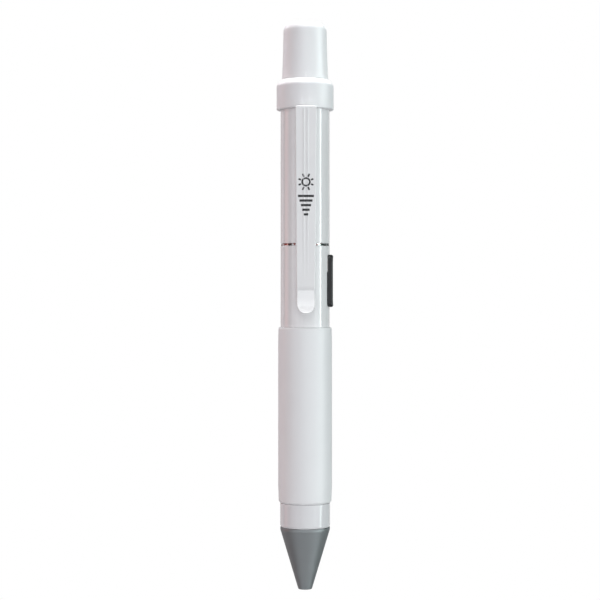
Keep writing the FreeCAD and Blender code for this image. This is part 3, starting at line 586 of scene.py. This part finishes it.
def soften_window(piece, middle, rim):
    """Small round on the outer edge of the button's window, in a barrel of radius rim."""
    bm = bmesh.new()
    bm.from_mesh(piece.data)
    edges = []
    for edge in bm.edges:
        spot = (edge.verts[0].co + edge.verts[1].co) / 2 / MM
        near = (spot.x > rim - 1.75 and abs(spot.y) < WINDOW_HALF_Y + 0.2
                and abs(spot.z - middle) < WINDOW_HALF_Z + 0.45)
        outside = all(math.hypot(v.co.x, v.co.y) / MM > rim - 0.03 for v in edge.verts)
        if near and outside and len(edge.link_faces) == 2 and edge.calc_face_angle(0) > math.radians(35):
            edges.append(edge)
    bmesh.ops.bevel(bm, geom=edges, offset=WINDOW_ROUND * MM, segments=3, affect="EDGES", profile=0.5,
                    clamp_overlap=True)
    bm.to_mesh(piece.data)
    bm.free()
    tidy_mesh(piece, BOOLEAN_WELD)


def make_lower_barrel(materials):
    z0, z1, rim = span("lower_barrel")
    ring_z = span("front_ring")[0]
    grip_top = span("grip_sleeve")[1] + 0.005
    seam_z = span("seam_ring")[0] - 0.02
    groove, groove_low, groove_high = 3.85, 13.35, 14.15
    core, spigot, joint, bore, lens = 5.95, 4.42, 5.7, 5.2, 3.3
    cell_z, lens_z = 80.0, 16.9
    outline = [
        (lens, z0, 0.06), (spigot, z0, 0.1), (spigot, groove_low, 0.04), (groove, groove_low, 0.0),
        (groove, groove_high, 0.0), (spigot, groove_high, 0.04), (spigot, ring_z, 0.0),
        (core, ring_z, 0.05), (core, grip_top, 0.0), (rim, grip_top, 0.0), (rim, seam_z, 0.12),
        (joint, seam_z, 0.0), (joint, z1, 0.1), (CELL_BORE, z1, 0.0), (CELL_BORE, cell_z, 0.0),
        (bore, cell_z, 0.0), (bore, lens_z, 0.0), (lens, lens_z, 0.0),
    ]
    piece = lathe("lower_barrel_shell", round_corners(outline))
    middle = button_middle()
    shape = rounded_outline(WINDOW_HALF_Y, WINDOW_HALF_Z, WINDOW_CORNER)
    rings = [[(x, y, middle + z) for y, z in shape] for x in (WINDOW_FROM_X, WINDOW_TO_X)]
    combine(piece, loft("window_cutter", rings), "DIFFERENCE")
    soften_window(piece, middle, rim)
    settle(piece, "handpiece", "gloss_white", materials["gloss_white"], "lower_barrel")


SEAM_FACETS = 64             # cut faces round the seam ring
FACET_DEPTH, FACET_RHYTHM = 0.003, 2.4   # share of the radius, and radians from one edge to the next


def make_seam_ring(materials):
    z0, z1, rim = span("seam_ring")
    outline = [(JOINT_BORE, z0, 0.0), (rim, z0, 0.05), (rim, z1, 0.05), (JOINT_BORE, z1, 0.0)]
    piece = lathe("seam_ring_shell", round_corners(outline), around=SEAM_FACETS)
    for vertex in piece.data.vertices:
        turn = math.atan2(vertex.co.y, vertex.co.x) / (2 * math.pi) * SEAM_FACETS
        shrink = 1 - FACET_DEPTH * (1 + math.sin(FACET_RHYTHM * round(turn)))
        vertex.co.x *= shrink
        vertex.co.y *= shrink
    piece.data.shade_flat()
    settle(piece, "handpiece", "seam_metal", materials["seam_metal"], "seam_ring")


def make_nose(materials):
    z0, z1, rim = span("nose_cone")
    tip, window, rim_z = 1.73, 1.3, z1 - 0.65
    socket, socket_z, guide_bore = 4.5, 11.3, 3.95
    outline = [(window, z0, 0.05), (tip, z0, 0.3), (rim, rim_z, 0.25), (rim, z1, 0.1), (socket, z1, 0.08),
               (socket, socket_z, 0.0), (guide_bore, socket_z, 0.0)]
    piece = lathe("nose_shell", round_corners(outline), FINE_RUN)
    settle(piece, "nose", "nose_grey", materials["nose_grey"], "nose_cone")


def make_light_guide(materials):
    z0, z1, entry = span("light_guide")
    outline = [(0.0, z0 + 0.02, 0.0), (0.9, z0, 0.0), (1.25, z0 + 0.12, 0.05), (entry, z1, 0.06),
               (0.0, z1, 0.0)]
    piece = lathe("light_guide_rod", round_corners(outline), FINE_RUN)
    settle(piece, "nose", "clear_optic", materials["clear_optic"], "light_guide")


# ---------------------------------------------------------------- button

def make_button(materials):
    low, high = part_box("button_cap")
    face = high.x / MM
    middle = button_middle()
    corner, edge, least_corner = 1.05, 0.5, 0.25
    base, base_rise = 5.75, 0.4
    crown, dome = 0.3, 0.1
    spine = BUTTON_HALF_Z - BUTTON_HALF_Y

    def ring(inset, x, bend=0.0):
        shape = rounded_outline(BUTTON_HALF_Y - inset, BUTTON_HALF_Z - inset,
                                max(corner - inset, least_corner))
        return [(x - bend * (y / BUTTON_HALF_Y) ** 2, y, middle + z) for y, z in shape]

    rings = [ring(0.0, base), ring(0.0, base + base_rise)]
    rings += [ring(edge * (1 - c), face - edge + edge * s, crown) for c, s in arc(0, 0, 1, 1, 0, 8)]
    rim = rings[-1]
    for share in (0.85, 0.7, 0.55, 0.4, 0.25, 0.12, 0.0):
        layer = []
        for x, y, z in rim:
            centre_z = max(-spine, min(spine, z - middle)) + middle
            ny, nz = y * share, centre_z + (z - centre_z) * share
            dip = dome * (1 - share * share)
            layer.append((face - crown * (ny / BUTTON_HALF_Y) ** 2 - dip, ny, nz))
        rings.append(layer)
    piece = loft("button_pad", rings, cap_end=False)
    block_low, block_top, block_half, flange_half, flange_x = 72.0, 80.7, 2.5, 3.25, 3.95
    stalk = block("button_block", (flange_x - 0.05, -block_half, block_low),
                  (base + 0.2, block_half, block_top), 0.1)
    flange = block("button_flange", (low.x / MM, -flange_half, low.z / MM),
                   (flange_x, flange_half, block_top), 0.08)
    combine(stalk, flange, "UNION")
    combine(piece, stalk, "UNION")
    settle(piece, "button", "button_black", materials["button_black"], "button_cap")


# ---------------------------------------------------------------- pocket clip

CLIP_TOP, CLIP_CREASE, CLIP_END = 122.1, 76.5, 70.08
CLIP_TOP_OFF, CLIP_CREASE_OFF, CLIP_LIP_OFF = 7.6, 6.31, 8.64    # its back face from the axis
CLIP_WIDE, CLIP_NARROW = 2.75, 2.365     # half widths at the top and at the end
CLIP_THICK = 1.0
CLIP_BEND = 1.7              # height above the crease at which the blade starts to bend
CLIP_LIP_ARC = 17.0          # radius of the flared lip
CLIP_TOP_CORNER = 0.6
CLIP_EDGE = 0.3              # round on the front edge at the top and at the end
CLIP_TIP, CLIP_LEAST = 0.02, 0.05        # smallest half widths, so that no ring collapses
RIB_OFFSET, RIB_WIDE, RIB_STEEP, RIB_HEIGHT = 0.49, 0.5, 0.09, 0.13
RIB_FROM, RIB_FADE = 79.0, 16.0          # the ribs rise slowly above the crease
RIB_TOP_GAP, RIB_TOP_FADE = 0.4, 0.6     # and end just short of the top


def clip_line():
    """Back face of the clip from top to end: list of (distance from the axis, z)."""
    slope = (CLIP_TOP_OFF - CLIP_CREASE_OFF) / (CLIP_TOP - CLIP_CREASE)
    heights = [CLIP_TOP - d for d in (0.0, 0.04, 0.1, 0.2, 0.32, 0.46, 0.64, 0.9, 1.3)]
    run = heights[-1] - (CLIP_CREASE + CLIP_BEND)
    heights += [heights[-1] - run * k / 48 for k in range(1, 49)]
    blade = [(CLIP_TOP_OFF - slope * (CLIP_TOP - z), z) for z in heights]
    start, end = Vector((CLIP_CREASE_OFF, CLIP_CREASE)), Vector((CLIP_LIP_OFF, CLIP_END))
    chord = end - start
    centre = (start + end) / 2 + Vector((-chord.y, chord.x)).normalized() * math.sqrt(
        CLIP_LIP_ARC ** 2 - (chord.length / 2) ** 2)
    sweep = (start - centre).angle_signed(end - centre)
    shares = [k / 20 for k in range(5, 18)] + [0.88, 0.91, 0.94, 0.96, 0.975, 0.988, 1.0]
    lip = [swing(centre, start - centre, -sweep * t) for t in shares]
    bend_from, bend_to = blade[-1], lip[0]
    bend = [tuple(bend_from[a] * (1 - t) ** 2 + 2 * start[a] * t * (1 - t) + bend_to[a] * t * t
                  for a in (0, 1))
            for t in (k / 10 for k in range(1, 10))]
    return blade + bend + lip


def rib_height(x, z):
    """Two low ribs down the middle of the clip, each steep on its left and falling away to its right."""
    fade = min(1.0, max(0.0, (z - RIB_FROM) / RIB_FADE))
    fade *= min(1.0, max(0.0, (CLIP_TOP - RIB_TOP_GAP - z) / RIB_TOP_FADE))
    step = x + RIB_WIDE / 2 + (RIB_OFFSET if x < 0 else -RIB_OFFSET)
    if not 0.0 < step < RIB_WIDE:
        return 0.0
    if step < RIB_STEEP:
        return RIB_HEIGHT * fade * step / RIB_STEEP
    rest = (step - RIB_STEEP) / (RIB_WIDE - RIB_STEEP)
    return RIB_HEIGHT * fade * (1 - rest) * (1 + 0.5 * rest)


def clip_section(half, thick, z):
    """Cross-section ring of (across, out) points; its rounds shrink with its half width and thickness."""
    front = min(0.28, half * 0.9, thick * 0.45)
    wide = min(0.36, half * 0.9)
    back = min(0.14, half * 0.5, thick * 0.3)
    flat, back_flat = half - wide, half - back
    ring = [(-back_flat + 2 * back_flat * k / 6, 0.0) for k in range(7)]
    ring += arc(back_flat, back, back, back, -90, 3)[1:]
    ring += arc(flat, thick - front, wide, front, 0, 6)
    ring += [(x, thick + rib_height(x, z)) for x in (flat - 2 * flat * k / 60 for k in range(1, 60))]
    ring += arc(-flat, thick - front, wide, front, 90, 6)
    ring += arc(-back_flat, back, back, back, 180, 3)[:-1]
    return ring


def make_clip(materials):
    end_round = CLIP_NARROW * 0.985
    rings = []
    for off, z in clip_line():
        top_gap, end_gap = CLIP_TOP - z, z - CLIP_END
        half = CLIP_NARROW + (CLIP_WIDE - CLIP_NARROW) * end_gap / (CLIP_TOP - CLIP_END)
        half -= round_loss(top_gap, CLIP_TOP_CORNER)
        if end_gap < end_round:
            half = min(half, end_round - round_loss(end_gap, end_round) + CLIP_TIP)
        half = max(half, CLIP_LEAST)
        thick = CLIP_THICK - round_loss(top_gap, CLIP_EDGE) - round_loss(end_gap, CLIP_EDGE)
        rings.append([(x, -(off + n), z) for x, n in clip_section(half, thick, z)])
    piece = loft("clip_blade", rings)
    leg = block("clip_leg", (-LEG_HALF_X, -LEG_OUTER, LEG_LOW), (LEG_HALF_X, -LEG_INNER, LEG_TOP), 0.1)
    combine(piece, leg, "UNION")
    settle(piece, "clip", "gloss_white", materials["gloss_white"], "pocket_clip")


# ---------------------------------------------------------------- printed mark

MARK_LIFT, MARK_SINK = 0.012, 0.05       # above and below the clip's front face
MARK_STEP = 0.08             # length of a strip's pieces
LAMP_Z, LAMP_RADIUS, LAMP_STEPS = 103.0, 0.95, 48
RAY_COUNT, RAY_FROM, RAY_WIDE = 8, 1.35, 0.42
RAY_LONG, RAY_SHORT = 2.2, 2.0
BAR_COUNT, BAR_Z, BAR_SPACING, BAR_WIDE = 5, 94.9, 1.15, 0.58
BAR_HALF, BAR_GROWTH = 0.55, 0.36        # half length of the lowest bar, and what each next one adds


def clip_front(x, z):
    """Distance from the axis of the clip's front face at a point of its straight part."""
    t = (CLIP_TOP - z) / (CLIP_TOP - CLIP_CREASE)
    return CLIP_TOP_OFF + (CLIP_CREASE_OFF - CLIP_TOP_OFF) * t + CLIP_THICK + rib_height(x, z)


def make_mark(materials):
    """Generic symbol on the clip: a lamp with rays, over bars that get longer upwards."""
    verts, faces = [], []

    def patch(grid, closed=False):
        """Thin slab over a grid of (x, z) rows; a closed one meets itself and has no end walls."""
        rows, columns = len(grid), len(grid[0])
        start = len(verts)
        for depth in (MARK_LIFT, -MARK_SINK):
            verts.extend((x, -(clip_front(x, z) + depth), z) for row in grid for x, z in row)

        def at(layer, r, c):
            return start + layer * rows * columns + r * columns + c

        for r in range(rows - 1):
            for c in range(columns - 1):
                faces.append((at(0, r, c), at(0, r, c + 1), at(0, r + 1, c + 1), at(0, r + 1, c)))
                faces.append((at(1, r, c), at(1, r + 1, c), at(1, r + 1, c + 1), at(1, r, c + 1)))
        walls = [((r, c), (r + 1, c)) for c in (0, columns - 1) for r in range(rows - 1)]
        if not closed:
            walls += [((r, c), (r, c + 1)) for r in (0, rows - 1) for c in range(columns - 1)]
        for (r0, c0), (r1, c1) in walls:
            faces.append((at(0, r0, c0), at(1, r0, c0), at(1, r1, c1), at(0, r1, c1)))

    def strip(x0, z0, x1, z1, wide):
        along = Vector((x1 - x0, z1 - z0))
        side = Vector((-along.y, along.x)).normalized() * wide / 2
        steps = max(2, int(along.length / MARK_STEP))
        patch([[(x0 + along.x * k / steps + side.x * s, z0 + along.y * k / steps + side.y * s)
                for s in (-1, -0.33, 0.33, 1)] for k in range(steps + 1)])

    angles = [2 * math.pi * k / LAMP_STEPS for k in range(LAMP_STEPS + 1)]
    radii = [LAMP_RADIUS + d for d in (-0.22, -0.07, 0.07, 0.22)]
    patch([[(r * math.cos(a), LAMP_Z + r * math.sin(a)) for r in radii] for a in angles], closed=True)
    for k in range(RAY_COUNT):
        a = (2 * k + 1) * math.pi / RAY_COUNT
        reach = RAY_LONG if abs(math.sin(a)) > 0.5 else RAY_SHORT
        strip(RAY_FROM * math.cos(a), LAMP_Z + RAY_FROM * math.sin(a),
              reach * math.cos(a), LAMP_Z + reach * math.sin(a), RAY_WIDE)
    for k in range(BAR_COUNT):
        half, z = BAR_HALF + BAR_GROWTH * k, BAR_Z + BAR_SPACING * k
        strip(-half, z, half, z, BAR_WIDE)
    piece = new_object("clip_mark", verts, faces)
    settle(piece, "clip", "button_black", materials["print_black"])


# ---------------------------------------------------------------- CAD nodes that stay

def dress_nodes(materials):
    """Gives every CAD node that is still shown its node material, by the record's slot."""
    slots = {s["node"]: s["material_slot"] for s in frame["record"]["subparts"]}
    for name, node in frame["nodes"].items():
        if node.hide_render:
            continue
        for socket in node.material_slots:
            socket.material = materials[slots[name]]


# ---------------------------------------------------------------- floor and light

FLOOR_Z, FLOOR_RING, FLOOR_RINGS, FLOOR_AROUND = -150.0, 40.0, 4, 96
ROOM_LOW, ROOM_HIGH = 0.1, 0.12          # brightness of the room from floor to ceiling
ROOM_LEFT, ROOM_RIGHT = (1.0, 0.93, 0.95), (0.96, 1.0, 1.0)
BACKDROP = 0.55              # extra brightness of the white backdrop behind the pen
BACKDROP_FADE, BACKDROP_FULL = 0.45, 0.85    # y of the view directions between which it comes up
SPOT_BLEND = 0.4
LIGHTS = [
    # name, azimuth, elevation, distance m, width m, height m, brightness, colour
    ("right_strip", 75.5, 12, 0.8, 0.125, 1.4, 5.4, (0.86, 1.0, 0.97)),
    ("right_low", 58, -14, 0.8, 0.38, 0.7, 1.5, (0.93, 0.97, 1.0)),
    ("front_high", -11, 32, 0.8, 0.55, 0.5, 2.4, (0.96, 0.98, 1.0)),
    ("front_low", 21, -14, 0.8, 0.8, 0.7, 0.9, (0.96, 0.97, 1.0)),
    ("front_left", -24, -14, 0.8, 0.5, 0.7, 0.95, (0.96, 0.97, 1.0)),
    ("left_low", -54, -14, 0.8, 0.4, 0.7, 0.75, (0.98, 0.96, 1.0)),
    ("rose_fill", -100, 10, 0.8, 0.34, 1.1, 0.82, (1.0, 0.42, 0.36)),
    ("rear_left_high", -130, 32, 0.8, 0.26, 0.5, 3.3, (0.93, 0.93, 1.0)),
    ("rear_left_low", -130, -14, 0.8, 0.26, 0.7, 0.4, (0.98, 0.98, 1.0)),
]
SPOTS = [
    # name, place m, target height m, watts, cone degrees, softness m, colour
    ("overhead", (0, 0, 0.78), 0.0, 62.0, 2.4, 0.022, (1.0, 1.0, 1.0)),
    ("knob_side", (0.78, -0.06, 0.28), 0.141, 3.0, 3.4, 0.012, (0.9, 1.0, 0.99)),
]


def make_floor():
    """Round floor of quads about one middle point."""
    verts, faces = [(0, 0, FLOOR_Z)], []
    for i in range(1, FLOOR_RINGS + 1):
        for k in range(FLOOR_AROUND):
            a = 2 * math.pi * k / FLOOR_AROUND
            verts.append((FLOOR_RING * i * math.cos(a), FLOOR_RING * i * math.sin(a), FLOOR_Z))
    for k in range(FLOOR_AROUND):
        m = (k + 1) % FLOOR_AROUND
        faces.append((0, 1 + k, 1 + m))
        for i in range(FLOOR_RINGS - 1):
            a, b = 1 + i * FLOOR_AROUND, 1 + (i + 1) * FLOOR_AROUND
            faces.append((a + k, b + k, b + m, a + m))
    floor = new_object("floor", verts, faces)
    g = Graph("pale_floor")
    g.link(g.blend(g.noise(60.0), (0.86, 0.86, 0.87), (0.90, 0.90, 0.90)), g.shader.inputs["Base Color"])
    g.link(g.remap(g.noise(2.0), 0.3, 0.7, 0.6, 0.8), g.shader.inputs["Roughness"])
    floor.data.materials.append(g.material)


def place_lamp(name, data, spot, away):
    """Puts a light at a spot, facing against the direction away; the camera doesn't see it."""
    lamp = bpy.data.objects.new(name, data)
    bpy.context.scene.collection.objects.link(lamp)
    lamp.visible_camera = False
    lamp.location = spot
    lamp.rotation_euler = away.to_track_quat("Z", "Y").to_euler()


def make_light(name, azimuth, elevation, distance, width, height, brightness, colour):
    """Soft box aimed at the middle of the pen; azimuth in degrees from the front towards +X."""
    data = bpy.data.lights.new(name, "AREA")
    data.shape = "RECTANGLE"
    data.size = width
    data.size_y = height
    data.energy = math.pi * width * height * brightness
    data.color = colour
    a, e = math.radians(azimuth), math.radians(elevation)
    away = Vector((math.sin(a) * math.cos(e), -math.cos(a) * math.cos(e), math.sin(e)))
    place_lamp(name, data, Vector((0, 0, PEN_CENTRE_Z * MM)) + away * distance, away)


def make_spot(name, place, target_z, watts, cone, softness, colour):
    """Narrow soft spot aimed at a height on the pen's axis."""
    data = bpy.data.lights.new(name, "SPOT")
    data.energy = watts
    data.spot_size = math.radians(cone)
    data.spot_blend = SPOT_BLEND
    data.shadow_soft_size = softness
    data.color = colour
    place_lamp(name, data, place, Vector(place) - Vector((0, 0, target_z)))


def make_world():
    """White to the camera; to the pen, a dim tinted room with a bright backdrop."""
    world = bpy.data.worlds.new("studio")
    bpy.context.scene.world = world
    world.use_nodes = True
    tree = world.node_tree
    tree.nodes.clear()
    output = tree.nodes.new("ShaderNodeOutputWorld")
    mix = tree.nodes.new("ShaderNodeMixShader")
    path = tree.nodes.new("ShaderNodeLightPath")
    white = tree.nodes.new("ShaderNodeBackground")
    white.inputs["Color"].default_value = (1, 1, 1, 1)
    room = tree.nodes.new("ShaderNodeBackground")
    coordinates = tree.nodes.new("ShaderNodeTexCoord")
    split = tree.nodes.new("ShaderNodeSeparateXYZ")
    tree.links.new(coordinates.outputs["Generated"], split.inputs[0])

    def ramp(axis, low, high, to_low, to_high):
        made = tree.nodes.new("ShaderNodeMapRange")
        for key, number in (("From Min", low), ("From Max", high), ("To Min", to_low), ("To Max", to_high)):
            made.inputs[key].default_value = number
        tree.links.new(split.outputs[axis], made.inputs["Value"])
        return made.outputs[0]

    total = tree.nodes.new("ShaderNodeMath")
    total.operation = "ADD"
    tree.links.new(ramp("Z", -1.0, 1.0, ROOM_LOW, ROOM_HIGH), total.inputs[0])
    tree.links.new(ramp("Y", BACKDROP_FADE, BACKDROP_FULL, 0.0, BACKDROP), total.inputs[1])
    tree.links.new(total.outputs[0], room.inputs["Strength"])
    tint = tree.nodes.new("ShaderNodeMix")
    tint.data_type = "RGBA"
    tint.inputs[6].default_value = (*ROOM_LEFT, 1)
    tint.inputs[7].default_value = (*ROOM_RIGHT, 1)
    tree.links.new(ramp("X", -1.0, 1.0, 0.0, 1.0), tint.inputs["Factor"])
    tree.links.new(tint.outputs[2], room.inputs["Color"])
    tree.links.new(path.outputs["Is Camera Ray"], mix.inputs[0])
    tree.links.new(room.outputs[0], mix.inputs[1])
    tree.links.new(white.outputs[0], mix.inputs[2])
    tree.links.new(mix.outputs[0], output.inputs["Surface"])


def main():
    make_camera()
    materials = make_materials()
    for make in (make_knob, make_collar, make_upper_barrel, make_seam_ring, make_lower_barrel, make_grip,
                 make_front_ring, make_nose, make_light_guide, make_button, make_clip, make_mark):
        make(materials)
    dress_nodes(materials)
    make_floor()
    make_world()
    for lamp in LIGHTS:
        make_light(*lamp)
    for spot in SPOTS:
        make_spot(*spot)
    scene = bpy.context.scene
    scene.view_settings.view_transform = "Standard"
    scene.view_settings.look = "None"


main()
